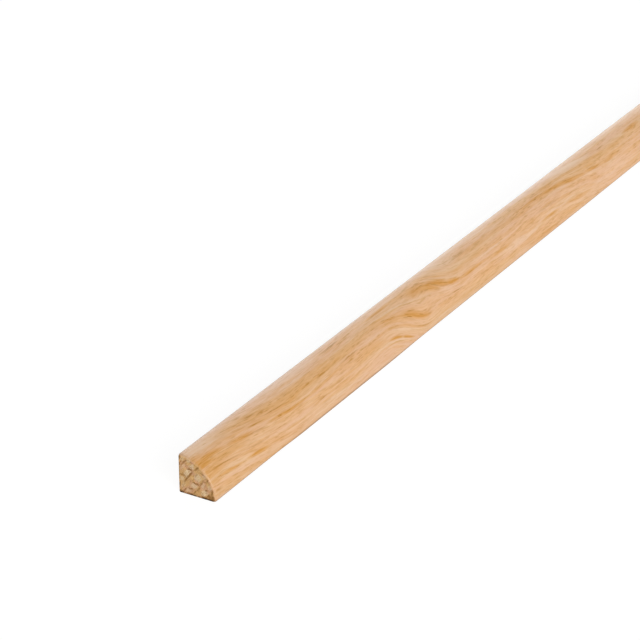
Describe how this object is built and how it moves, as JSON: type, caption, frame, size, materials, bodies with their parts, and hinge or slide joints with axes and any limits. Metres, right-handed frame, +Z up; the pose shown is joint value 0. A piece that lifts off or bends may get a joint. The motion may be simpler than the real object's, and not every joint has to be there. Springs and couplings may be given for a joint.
{
  "type": "quarter round moulding",
  "caption": "Length of solid hardwood quarter round: two flats at a right angle, joined by a quarter-circle face, with eased arrises and square-sawn ends.",
  "frame": {"origin": "centre of the bounding box's bottom face: under the middle of the stock's length and width, on the surface that the bottom flat lies on", "axes": "+X along the stock, +Y out of the back flat, +Z up from the bottom flat; the rounded face looks towards -Y and +Z"},
  "size_m": [2.438, 0.019, 0.019],
  "materials": {
    "hardwood": "planed and sanded smooth, unfinished, with open grain"
  },
  "bodies": {
    "root": {"moulding": "hardwood"}
  },
  "joints": []
}
